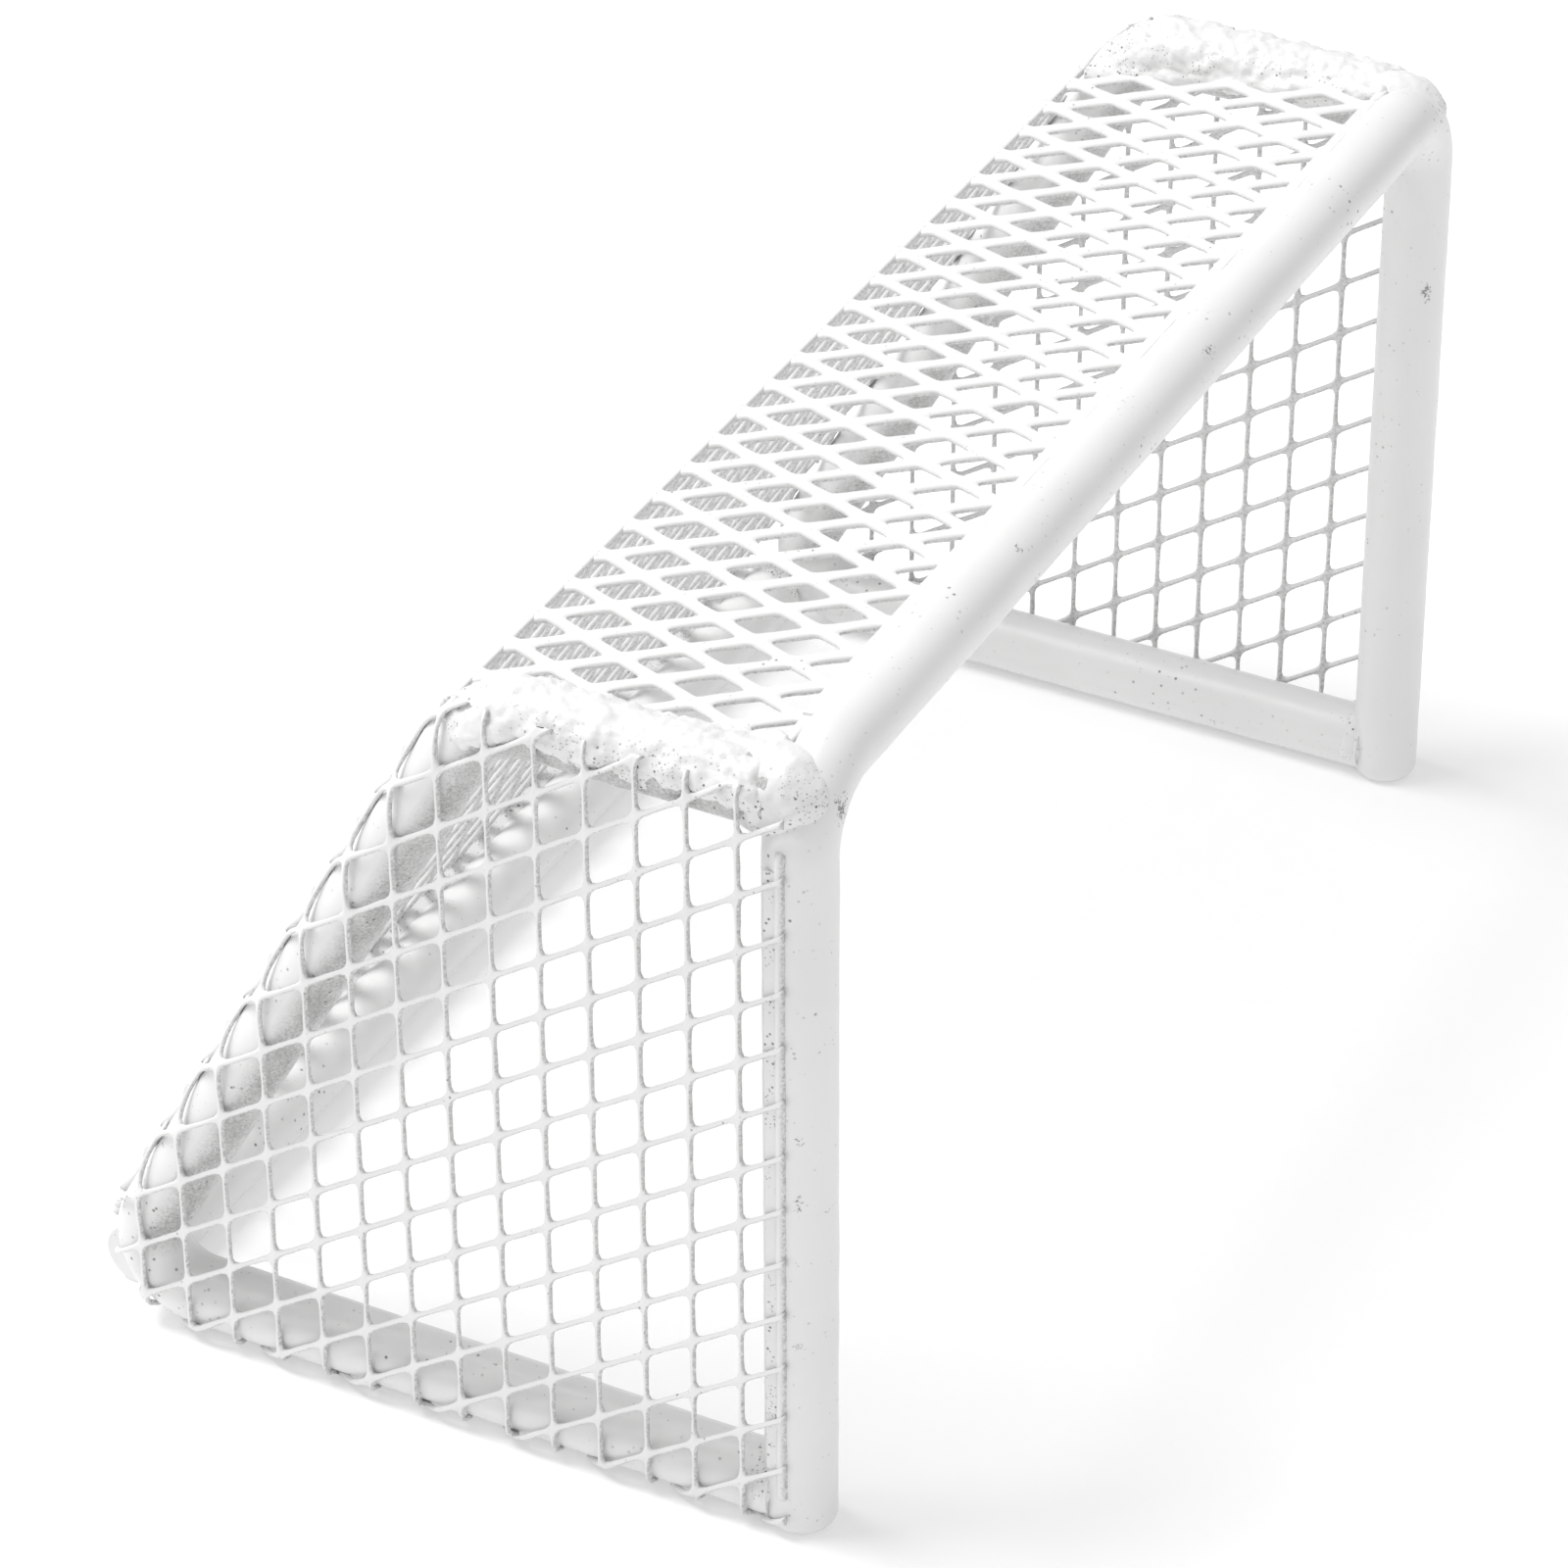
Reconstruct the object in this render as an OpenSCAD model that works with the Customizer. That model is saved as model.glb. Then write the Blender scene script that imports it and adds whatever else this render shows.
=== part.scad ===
// Small welded goal: round rod frame covered with expanded metal mesh.
// Millimetres. X runs across the mouth, +Y to the back, +Z up; the floor is z = 0.

/* [Overall] */
// Height over the crossbar
goal_h = 100; // [70:1:200]
// Distance between the post centres
post_span = 162; // [100:1:320]
// Depth from the post centre to the corner at the foot of the slope
base_depth = 86.5; // [60:0.5:170]
// Depth from the post centre to the corner at the top of the slope
top_depth = 36.5; // [30:0.5:80]

/* [Rods] */
// Rod diameter
rod_d = 8; // [5:0.5:12]
// Centre line radius of the crossbar bends
post_bend = 8.5; // [6:0.5:16]
// Centre line radius of the bend above the slope
top_bend = 10.5; // [7:0.5:18]
// Centre line radius of the bend at the floor
floor_bend = 6.5; // [5:0.5:12]
// Edge rounding of the post feet
foot_round = 1.6; // [0.4:0.2:2.4]
// How far the side bars sit below the crossbar
side_drop = 1.5; // [0:0.1:4]
// How far the rear bar sits in front of the slope corner
rear_inset = 1; // [0:0.1:3]

/* [Mesh] */
// Sheet thickness
sheet_t = 0.8; // [0.5:0.1:1.2]
// Strand width
strand_w = 1.1; // [0.6:0.1:2]
// Short diagonal of a diamond
diamond_s = 6.6; // [5:0.1:12]
// Long diagonal of a diamond
diamond_l = 12.4; // [8:0.1:24]
// Width of the solid margin round a sheet
rim_w = 0.9; // [0.6:0.1:2]
// Metal filling the sharp corners of a cell
web_long = 1.3; // [0.2:0.1:2]
// Distance of the top fold down the slope
fold_run = 5.8; // [5:0.1:9]
// Angle from the top of the crossbar where the top sheet lands
land_angle = 52; // [35:1:65]
// Margin at each side of the fold
fold_w = 1.1; // [0.8:0.1:2]
// Slots in the wrapped edge, pitch
slot_pitch = 6; // [4:0.5:12]
// Slots in the wrapped edge, length
slot_l = 3.8; // [2:0.1:6]

/* [Welds] */
// Width of the bead between the crossbar and the top sheet
bar_bead_w = 0.9; // [0.6:0.1:1.6]
// How far the seam bead stands outside the rod
seam_out = 0.9; // [0.8:0.1:1.5]
// How far the weld collars stand proud of a rod
collar_t = 0.8; // [0.4:0.1:1.2]
// Width of the fillet behind the post edge of a side sheet
post_fillet = 2.2; // [1:0.1:3]

/* [Show] */
// Which piece to draw

/* [Hidden] */
white = [0.95, 0.95, 0.94];
bead_white = [0.92, 0.92, 0.91];
net_white = [0.96, 0.96, 0.95];
$fn = 64;
e = 0.01;
r = rod_d / 2;
half = post_span / 2;
bar_z = goal_h - r;
top_z = bar_z - side_drop;
low_z = r;

// slope of the side frames, seen along X
run = base_depth - top_depth;
drop = top_z - low_z;
sl = atan2(drop, run);
us = [cos(sl), -sin(sl)];
ns = [sin(sl), cos(sl)];
slope_len = norm([run, drop]);
top_t = top_bend * tan(sl / 2);
floor_t = floor_bend * tan((180 - sl) / 2);
top_c = [top_depth - top_t, top_z - top_bend];
floor_c = [base_depth - floor_t, low_z + floor_bend];

// fold line and top sheet
fold = [top_depth, top_z] + ns * (r + sheet_t) + us * fold_run;
land = [r * sin(land_angle), bar_z + r * cos(land_angle)];
ra = atan2(land[1] - fold[1], fold[0] - land[0]);
roof_full = norm(land - fold);
roof_len = roof_full - bar_bead_w;
ur = [-cos(ra), sin(ra)];
nr = [sin(ra), cos(ra)];
roof_half = half - r;

// rear bar and the lower end of the back sheet
rear_y = base_depth - rear_inset;
rear_s = (rear_y - top_depth) * us[0] + (low_z - top_z) * us[1];
rear_gap = rear_inset * ns[0];
back_end = rear_s - fold_run + 0.6;
back_tip = fold + us * back_end;
y_back = max(back_tip[0], rear_y + r, floor_c[0] + floor_bend + r);
y_mid = (y_back - r) / 2;

// where the corner welds end and the seam beads start, and the inner end of the rear welds
weld_end = r + 0.6;
rear_in = half - r - 1.2;

// diamond lattice
side_a = norm([diamond_s, diamond_l]) / 2;
half_ang = atan2(diamond_s, diamond_l);
cell_ang = 2 * half_ang;
kk = 1 - strand_w / (side_a * sin(cell_ang));

module place() { translate([0, -y_mid, 0]) children(); }
// local x, y become world Y, Z and local z becomes world X
module on_side(sx) { translate([sx * half, 0, 0]) rotate([90, 0, 90]) children(); }

module bar2(p, q, rad) {
    d = q - p;
    translate([p[0], p[1], 0]) rotate([0, 0, atan2(d[1], d[0])]) rotate([0, 90, 0])
        rotate([0, 0, 90]) cylinder(h = norm(d), r = rad);
}
module arc2(c, big, a0, a1, rad) {
    translate([c[0], c[1], 0]) rotate([0, 0, a0]) rotate_extrude(angle = a1 - a0)
        translate([big, 0]) circle(r = rad);
}

module post_solid() {
    h = bar_z - post_bend;
    rotate_extrude() {
        square([r - foot_round, h]);
        translate([0, foot_round]) square([r, h - foot_round]);
        intersection() {
            translate([r - foot_round, foot_round]) circle(r = foot_round);
            square([r, foot_round]);
        }
    }
}
module front_solid() {
    for (sx = [-1, 1]) translate([sx * half, 0, 0]) post_solid();
    translate([-half + post_bend, 0, bar_z]) rotate([0, 90, 0])
        cylinder(h = post_span - 2 * post_bend, r = r);
    for (sx = [-1, 1]) translate([sx * (half - post_bend), 0, bar_z - post_bend])
        rotate([90, 0, 0]) rotate([0, 0, sx > 0 ? 0 : 90])
            rotate_extrude(angle = 90) translate([post_bend, 0]) circle(r = r);
}
module side_rods() {
    ta = 17 / top_bend;
    fa = 17 / floor_bend;
    // the bends are a hair thinner than the straights and run 0.3 into them
    bar2([r, top_z], [top_c[0], top_z], r);
    arc2(top_c, top_bend, 90 - sl - ta, 90 + ta, r - 0.04);
    bar2([top_depth, top_z] + us * top_t, [base_depth, low_z] - us * floor_t, r);
    arc2(floor_c, floor_bend, -90 - fa, 90 - sl + fa, r - 0.04);
    bar2([floor_c[0], low_z], [r, low_z], r);
}

// one opening of the mesh, centred on the origin; u and v are the strand vectors
module cell(u, v) {
    la = web_long / norm(u);
    function p(i, j) = u * (kk * i / 2) + v * (kk * j / 2);
    polygon([p(1, 1) - u * la, p(1, 1) - v * la, p(1, -1),
        p(-1, -1) + u * la, p(-1, -1) + v * la, p(-1, 1)]);
}
// openings over the box lo..hi, with one cell centred at c
module cells(u, v, c, lo, hi) {
    n = ceil((norm(hi - lo) + 2 * side_a) / (diamond_s / 2));
    for (i = [-n:n], j = [-n:n]) {
        q = c + u * i + v * j;
        if (q[0] > lo[0] - diamond_s && q[0] < hi[0] + diamond_s
            && q[1] > lo[1] - diamond_s && q[1] < hi[1] + diamond_s)
            translate(q) cell(u, v);
    }
}

// outline of a side sheet: along the rod centre lines, in by m all round
function arc_pts(c, big, a0, a1, n) = [for (i = [0:n]) let (a = a0 + (a1 - a0) * i / n)
    c + big * [cos(a), sin(a)]];
side_front = -0.5;
side_top = top_z;
side_foot = low_z - 1.2;
function side_outline(m) = concat(
    [[side_front + m, side_foot + m], [side_front + m, side_top - m]],
    arc_pts(top_c, top_bend - m, 90, 90 - sl, 5),
    arc_pts(floor_c, floor_bend - m, 90 - sl, -60, 6),
    [[floor_c[0], side_foot + m]]);
side_u = [0, side_a];
side_v = [-side_a * sin(cell_ang), side_a * cos(cell_ang)];
side_node = [4.95, 6.36];

module side_grille() {
    difference() {
        polygon(side_outline(0));
        intersection() {
            polygon(side_outline(rim_w));
            cells(side_u, side_v, side_node + (side_u + side_v) / 2, [0, 0], [base_depth, goal_h]);
        }
    }
}
// the edge of a side sheet dressed round the sloped rod, in slope coordinates
wrap_a = top_t;
wrap_b = slope_len - floor_t;
module wrap_solid(sx) {
    n = floor((wrap_b - wrap_a - 2) / slot_pitch);
    s0 = (wrap_a + wrap_b - (n - 1) * slot_pitch) / 2;
    difference() {
        intersection() {
            translate([wrap_a, 0, 0]) rotate([0, 90, 0]) cylinder(h = wrap_b - wrap_a, r = r + sheet_t);
            translate([0, -0.3, sx > 0 ? 0 : -r * 2]) cube([slope_len, r * 2 + 0.3, r * 2]);
        }
        translate([wrap_a - 1, 0, 0]) rotate([0, 90, 0]) cylinder(h = wrap_b - wrap_a + 2, r = r);
        for (i = [0:n - 1]) translate([s0 + i * slot_pitch, 0, 0]) rotate([45 * sx, 0, 0])
            translate([-slot_l / 2, r * 0.6, -r * 0.46]) cube([slot_l, r, r * 0.92]);
    }
}
module net_side(sx) {
    on_side(sx) {
        translate([0, 0, sx > 0 ? r : -r - sheet_t]) linear_extrude(sheet_t) side_grille();
        translate([top_depth, top_z, 0]) rotate([0, 0, -sl]) wrap_solid(sx);
    }
}

// top and back sheet; local x across, y down from the fold, z outwards
roof_u = [diamond_s / 2, diamond_l / 2];
roof_v = [-diamond_s / 2, diamond_l / 2];
roof_cell = [0.3, -8.6];
module on_roof() { translate([0, fold[0], fold[1]]) rotate([-ra, 0, 0]) children(); }
module on_back() { translate([0, fold[0], fold[1]]) rotate([-sl, 0, 0]) children(); }
module grille(lo, hi, c, low_rim, high_rim) {
    difference() {
        translate(lo) square(hi - lo);
        intersection() {
            translate(lo + [rim_w, low_rim]) square(hi - lo - [2 * rim_w, low_rim + high_rim]);
            cells(roof_u, roof_v, c, lo, hi);
        }
    }
}
module roof_net() {
    fl = fold_w - 0.3;
    q = 0.02;
    k = 1 + cos(sl - ra);
    place() color(net_white) {
        on_roof() translate([0, 0, -sheet_t]) linear_extrude(sheet_t)
            grille([-roof_half, -roof_len], [roof_half, -fl], roof_cell, 0.4, -1);
        on_back() translate([0, 0, -sheet_t]) linear_extrude(sheet_t)
            grille([-half, fl], [half, back_end], roof_cell, rim_w, rim_w);
        translate([-roof_half, 0, 0]) rotate([90, 0, 90]) linear_extrude(2 * roof_half)
            polygon([fold - (nr + ns) * q / k, fold + ur * fold_w - nr * q,
                fold + ur * fold_w - nr * (sheet_t - q), fold - (nr + ns) * (sheet_t - q) / k,
                fold + us * fold_w - ns * (sheet_t - q), fold + us * fold_w - ns * q]);
    }
}

module front_frame() { place() color(white) front_solid(); }
module side_frame(sx) { place() color(white) on_side(sx) side_rods(); }
module side_frame_left() { side_frame(-1); }
module side_frame_right() { side_frame(1); }
module net_left() { place() color(net_white) net_side(-1); }
module net_right() { place() color(net_white) net_side(1); }
module rear_rod(len, rad) {
    translate([-len / 2, rear_y, low_z]) rotate([0, 90, 0]) cylinder(h = len, r = rad);
}
module rear_bar() {
    place() color(white) difference() {
        rear_rod(post_span - r * 0.9, r);
        for (sx = [-1, 1]) on_side(sx) side_rods();
    }
}

// lumpy filler along a side top bar, from the side sheet over the rod to the top sheet
module seam_bead(sx) {
    w = r + seam_out;
    place() color(bead_white) mirror([sx > 0 ? 1 : 0, 0, 0]) difference() {
        translate([-half, top_c[0], top_z]) rotate([90, 0, 0]) linear_extrude(top_c[0] - weld_end)
            polygon([[-w, 0], [-w, w * 0.35], [-w * 0.8, w * 0.77], [-w * 0.33, w * 1.04],
                [w * 0.28, w * 1.08], [r, w * 0.94], [r, 0]]);
        translate([-half, 0, top_z]) rotate([-90, 0, 0]) cylinder(h = base_depth, r = r);
    }
}
// fillet where the top sheet runs into the crossbar
module crossbar_bead() {
    len = post_span - 2 * post_bend;
    place() color(bead_white) difference() {
        on_roof() translate([-len / 2, -roof_full - r * 0.55, -sheet_t - 0.5])
            cube([len, bar_bead_w + r * 0.55, sheet_t + 0.85]);
        translate([-half, 0, bar_z]) rotate([0, 90, 0]) cylinder(h = post_span, r = r);
    }
}
// filler between the rear bar and the back sheet
module rear_bead() {
    place() color(bead_white) difference() {
        on_back() translate([-rear_in, rear_s - fold_run - r * 0.45, -sheet_t - rear_gap - 1])
            cube([2 * rear_in, r * 0.45 + 0.6, rear_gap + 1]);
        rear_rod(post_span, r);
    }
}
// fillet behind the post edge of a side sheet
module post_bead(sx) {
    z0 = low_z + r + collar_t + 0.2;
    place() color(bead_white) mirror([sx > 0 ? 1 : 0, 0, 0]) difference() {
        translate([-half - r, 0.4, z0]) cube([r - sqrt(r * r - post_fillet * post_fillet) + 0.14,
            post_fillet - 0.4, bar_z - post_bend - z0]);
        translate([-half, 0, 0]) cylinder(h = goal_h, r = r, $fn = 256);
    }
}
// weld collar between the front frame and a side bar at height z
module bar_weld(sx, z, y1) {
    place() color(bead_white) difference() {
        translate([sx * half, 0.2 * r, z]) rotate([-90, 0, 0])
            cylinder(h = y1 - 0.2 * r, r = r + collar_t);
        front_solid();
        on_side(sx) side_rods();
        // room for the side sheet, and nothing under the floor
        translate([sx > 0 ? half + r - 0.05 : -half - 3 * r + 0.05, -r, -r])
            cube([2 * r, 4 * r, r + top_z]);
        translate([-goal_h * 5, -r, -2 * r]) cube([goal_h * 10, 4 * r, 2 * r + 0.2]);
    }
}
// collar round the end of the rear bar
module rear_weld(sx) {
    place() color(bead_white) difference() {
        translate([sx > 0 ? rear_in : -half + r * 0.7, rear_y, low_z]) rotate([0, 90, 0])
            cylinder(h = half - r * 0.7 - rear_in, r = r + collar_t);
        rear_rod(post_span, r);
        on_side(sx) side_rods();
        on_back() translate([-half, -base_depth, -sheet_t]) cube([post_span, 4 * base_depth, r * 2]);
        translate([-half, 0, -2 * r]) cube([post_span, 2 * base_depth, 2 * r + 0.2]);
    }
}
module seam_bead_left() { seam_bead(-1); }
module seam_bead_right() { seam_bead(1); }
module post_bead_left() { post_bead(-1); }
module post_bead_right() { post_bead(1); }
module corner_weld_left() { bar_weld(-1, top_z, weld_end); }
module corner_weld_right() { bar_weld(1, top_z, weld_end); }
module foot_weld_left() { bar_weld(-1, low_z, r + 1.2); }
module foot_weld_right() { bar_weld(1, low_z, r + 1.2); }
module rear_weld_left() { rear_weld(-1); }
module rear_weld_right() { rear_weld(1); }

front_frame();
side_frame_left();
side_frame_right();
rear_bar();
net_left();
net_right();
roof_net();
seam_bead_left();
seam_bead_right();
crossbar_bead();
rear_bead();
post_bead_left();
post_bead_right();
corner_weld_left();
corner_weld_right();
foot_weld_left();
foot_weld_right();
rear_weld_left();
rear_weld_right();
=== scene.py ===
import math

import bpy
from mathutils import Matrix, Vector


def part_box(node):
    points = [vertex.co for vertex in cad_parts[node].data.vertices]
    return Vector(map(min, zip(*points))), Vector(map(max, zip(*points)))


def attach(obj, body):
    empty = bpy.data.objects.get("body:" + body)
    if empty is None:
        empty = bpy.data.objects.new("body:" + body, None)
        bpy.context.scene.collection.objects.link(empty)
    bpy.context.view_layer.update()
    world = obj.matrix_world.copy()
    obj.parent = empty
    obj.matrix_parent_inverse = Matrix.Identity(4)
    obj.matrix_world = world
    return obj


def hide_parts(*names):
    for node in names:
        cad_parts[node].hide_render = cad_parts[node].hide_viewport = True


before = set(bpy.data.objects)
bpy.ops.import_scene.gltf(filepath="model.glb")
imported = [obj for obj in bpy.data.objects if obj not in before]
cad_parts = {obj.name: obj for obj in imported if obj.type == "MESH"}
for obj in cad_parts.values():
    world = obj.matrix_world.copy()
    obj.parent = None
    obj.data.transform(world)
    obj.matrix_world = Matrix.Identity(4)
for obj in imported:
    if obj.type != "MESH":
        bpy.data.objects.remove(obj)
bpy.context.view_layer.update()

mm = 0.001

# where the rods lie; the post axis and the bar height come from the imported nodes
goal = {
    "rod": 4.0 * mm,             # rod radius
    "half": 81.0 * mm,           # middle of the goal to a post's axis
    "postY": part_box("front_frame")[0].y + 4.0 * mm,
    "barZ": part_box("front_frame")[1].z - 4.0 * mm,
    "sideZ": 94.5 * mm,          # axis of the side top bars
    "floorZ": 4.0 * mm,          # axis of the ground bars
    "topDepth": 36.5 * mm,       # post axis to the corner above the slope
    "baseDepth": 86.5 * mm,      # post axis to the corner at the floor
    "rearDepth": 85.5 * mm,      # post axis to the rear ground bar
    "postBend": 8.5 * mm,
    "topBend": 10.5 * mm,
    "floorBend": 6.5 * mm,
    "foldRun": 5.8 * mm,         # how far down the slope the top sheet folds
    "sheet": 0.8 * mm,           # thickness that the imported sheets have
    "landing": math.radians(52),     # where the top sheet meets the crossbar, from the bar's top
    "hem": 0.2 * mm,             # how far the back sheet stops short of the floor corner
}
rod, half, postY = goal["rod"], goal["half"], goal["postY"]
slope = math.atan2(goal["sideZ"] - goal["floorZ"], goal["baseDepth"] - goal["topDepth"])
downSlope = Vector((0, math.cos(slope), -math.sin(slope)))
offSlope = Vector((0, math.sin(slope), math.cos(slope)))
slopeTop = Vector((0, postY + goal["topDepth"], goal["sideZ"]))
slopeFoot = Vector((0, postY + goal["baseDepth"], goal["floorZ"]))
topTrim = goal["topBend"] * math.tan(slope / 2)
footTrim = goal["floorBend"] * math.tan((math.pi - slope) / 2)
topCentre = Vector((0, slopeTop.y - topTrim, goal["sideZ"] - goal["topBend"]))
footCentre = Vector((0, slopeFoot.y - footTrim, goal["floorZ"] + goal["floorBend"]))
foldLine = slopeTop + offSlope * (rod + goal["sheet"]) + downSlope * goal["foldRun"]
landing = Vector((0, postY + rod * math.sin(goal["landing"]),
                  goal["barZ"] + rod * math.cos(goal["landing"])))
roofFall = math.atan2(landing.z - foldLine.z, foldLine.y - landing.y)
roofRun = (landing - foldLine).length
backRun = (slopeFoot - slopeTop).length - goal["foldRun"] - goal["hem"]

# the camera; its angles are in degrees, the lens and the sensor in millimetres
camera = {
    "place": (-564.26 * mm, -291.569 * mm, 467.35 * mm),
    "turn": 62.643, "down": 34.333, "roll": -0.229,
    "lens": 150.39, "sensor": 36.0,
    "clip": (0.05, 20),
}


def addCamera(c):
    turn, down, roll = (math.radians(c[k]) for k in ("turn", "down", "roll"))
    ahead = Vector((math.sin(turn) * math.cos(down), math.cos(turn) * math.cos(down), -math.sin(down)))
    right = Vector((math.cos(turn), -math.sin(turn), 0))
    below = ahead.cross(right)
    side = math.cos(roll) * right - math.sin(roll) * below
    foot = math.sin(roll) * right + math.cos(roll) * below
    bpy.ops.object.camera_add()
    cam = bpy.context.object
    cam.name = "viewCamera"
    cam.matrix_world = Matrix((
        (side.x, -foot.x, -ahead.x, c["place"][0]),
        (side.y, -foot.y, -ahead.y, c["place"][1]),
        (side.z, -foot.z, -ahead.z, c["place"][2]),
        (0, 0, 0, 1)))
    cam.data.lens = c["lens"]
    cam.data.sensor_width = c["sensor"]
    cam.data.clip_start, cam.data.clip_end = c["clip"]
    bpy.context.scene.camera = cam


addCamera(camera)
print("camera set")


# what the modelling helpers share
making = {
    "joinGap": 0.004 * mm,       # points closer than this become one
    "tubeGap": 0.001 * mm,       # the same while a tube is made
    "step": 2.5 * mm,            # length of a tube's segment on a straight
    "bendSteps": 14,
    "crease": math.radians(50),
}


def deselectAll():
    if bpy.context.object and bpy.context.object.mode != "OBJECT":
        bpy.ops.object.mode_set(mode="OBJECT")
    bpy.ops.object.select_all(action="DESELECT")


def pick(*pieces):
    deselectAll()
    for piece in pieces:
        piece.select_set(True)
    bpy.context.view_layer.objects.active = pieces[0]


def editAll(piece):
    pick(piece)
    bpy.ops.object.mode_set(mode="EDIT")
    bpy.ops.mesh.select_all(action="SELECT")


def settle(piece):                # the object goes to the origin, its place into its mesh
    pick(piece)
    bpy.ops.object.transform_apply(location=True, rotation=True, scale=True)


def useModifier(piece, kind, **settings):
    pick(piece)
    bpy.ops.object.modifier_add(type=kind)
    modifier = piece.modifiers[-1]
    for key, value in settings.items():
        setattr(modifier, key, value)
    bpy.ops.object.modifier_apply(modifier=modifier.name)


def joined(first, *others):
    pick(first, *others)
    bpy.ops.object.join()
    return first


def outward(piece):
    editAll(piece)
    bpy.ops.mesh.remove_doubles(threshold=making["joinGap"])
    bpy.ops.mesh.select_all(action="SELECT")
    bpy.ops.mesh.normals_make_consistent(inside=False)
    bpy.ops.object.mode_set(mode="OBJECT")


def smooth(piece):
    pick(piece)
    bpy.ops.object.shade_smooth()


# waves in the paint, lumps and crust in the filler: size and number of layers
waves = {
    "paintWave": (5 * mm, 2),
    "paintLump": (2.4 * mm, 1),
    "fillerLump": (2.6 * mm, 1),
    "fillerCrust": (0.9 * mm, 2),
}


def clouds(name, size, layers):
    texture = bpy.data.textures.new(name, "CLOUDS")
    texture.noise_scale = size
    texture.noise_depth = layers
    return texture


cloudsOf = {name: clouds(name, *wave) for name, wave in waves.items()}


def wavy(piece, wave, height):
    useModifier(piece, "DISPLACE", texture=cloudsOf[wave], strength=height, texture_coords="LOCAL")


def startTube(name, at, turn, radius, sides):
    deselectAll()
    bpy.ops.mesh.primitive_circle_add(
        vertices=sides, radius=radius, fill_type="NOTHING", location=at, rotation=turn)
    piece = bpy.context.object
    piece.name = name
    settle(piece)
    bpy.ops.object.mode_set(mode="EDIT")
    bpy.ops.mesh.select_all(action="SELECT")
    return piece


def runStraight(move):
    count = max(1, round(move.length / making["step"]))
    for i in range(count):
        bpy.ops.mesh.extrude_region_move(TRANSFORM_OT_translate={"value": tuple(move / count)})


def runBend(centre, axis, angle):
    bpy.ops.mesh.spin(steps=making["bendSteps"], angle=angle, center=centre, axis=axis)


def closeTube(piece, edge):
    # both ends get a face, and edge is the radius of their rim
    bpy.ops.mesh.select_all(action="SELECT")
    bpy.ops.mesh.remove_doubles(threshold=making["tubeGap"])
    bpy.ops.mesh.select_all(action="SELECT")
    bpy.ops.mesh.fill_holes(sides=0)
    bpy.ops.mesh.select_all(action="DESELECT")
    bpy.ops.mesh.select_face_by_sides(number=4, type="GREATER")
    if edge:
        bpy.ops.mesh.bevel(offset=edge, segments=4, affect="EDGES")
    bpy.ops.object.mode_set(mode="OBJECT")
    outward(piece)
    pick(piece)
    bpy.ops.object.shade_smooth_by_angle(angle=making["crease"])


# front frame: one rod up, across and down
frontRod = {"sides": 44, "footRim": 1.5 * mm, "wave": 0.16 * mm}


def makeFrontFrame():
    bend = goal["postBend"]
    high = goal["barZ"] - bend
    across = Vector((0, 1, 0))
    piece = startTube("frontFrame", (-half, postY, 0), (0, 0, 0), rod, frontRod["sides"])
    runStraight(Vector((0, 0, high)))
    runBend((-half + bend, postY, high), across, -math.pi / 2)
    runStraight(Vector((2 * (half - bend), 0, 0)))
    runBend((half - bend, postY, high), across, -math.pi / 2)
    runStraight(Vector((0, 0, -high)))
    closeTube(piece, frontRod["footRim"])
    wavy(piece, "paintWave", frontRod["wave"])
    return piece


# side frame: top bar, slope and ground bar bent from one rod, both ends inside the post
sideRod = {"sides": 40, "ends": rod * 0.6, "wave": 0.2 * mm}


def makeSideFrame(name, x):
    around = Vector((1, 0, 0))
    ends = postY + sideRod["ends"]
    piece = startTube(name, (x, ends, goal["sideZ"]), (math.pi / 2, 0, 0), rod, sideRod["sides"])
    runStraight(Vector((0, topCentre.y - ends, 0)))
    runBend((x, topCentre.y, topCentre.z), around, slope)
    runStraight(downSlope * ((slopeFoot - slopeTop).length - topTrim - footTrim))
    runBend((x, footCentre.y, footCentre.z), around, math.pi - slope)
    runStraight(Vector((0, ends - footCentre.y, 0)))
    closeTube(piece, 0)
    wavy(piece, "paintWave", sideRod["wave"])
    return piece


# rear bar: a straight rod between the side frames
rearRod = {"sides": 36, "reach": half - rod * 0.4, "wave": 0.16 * mm}


def makeRearBar():
    start = (-rearRod["reach"], postY + goal["rearDepth"], goal["floorZ"])
    piece = startTube("rearBar", start, (0, math.pi / 2, 0), rod, rearRod["sides"])
    runStraight(Vector((2 * rearRod["reach"], 0, 0)))
    closeTube(piece, 0)
    wavy(piece, "paintWave", rearRod["wave"])
    return piece


frontFrame = makeFrontFrame()
sideFrames = {"left": makeSideFrame("sideFrameLeft", -half), "right": makeSideFrame("sideFrameRight", half)}
rearBar = makeRearBar()
print("rods made")


# expanded metal, shared by all sheets
mesh = {
    "short": 6.6 * mm,           # short diagonal of a diamond
    "long": 12.4 * mm,           # long diagonal
    "cut": 0.3,                  # where a strand is cut across, from its end
    "blend": 0.02 * mm,          # how close to a crossing the leans of two strands blend
    "corner": (0.9 * mm, 2 * mm),    # how far from a crossing the sharp corners of an opening lie
    "snap": 0.05 * mm,           # and how far they are from the line of crossings at most
    "shadedSideRamp": (0.05, 0.45),       # where the painted shade on the front- and down-facing side of a strand starts, and how fast
}


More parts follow.
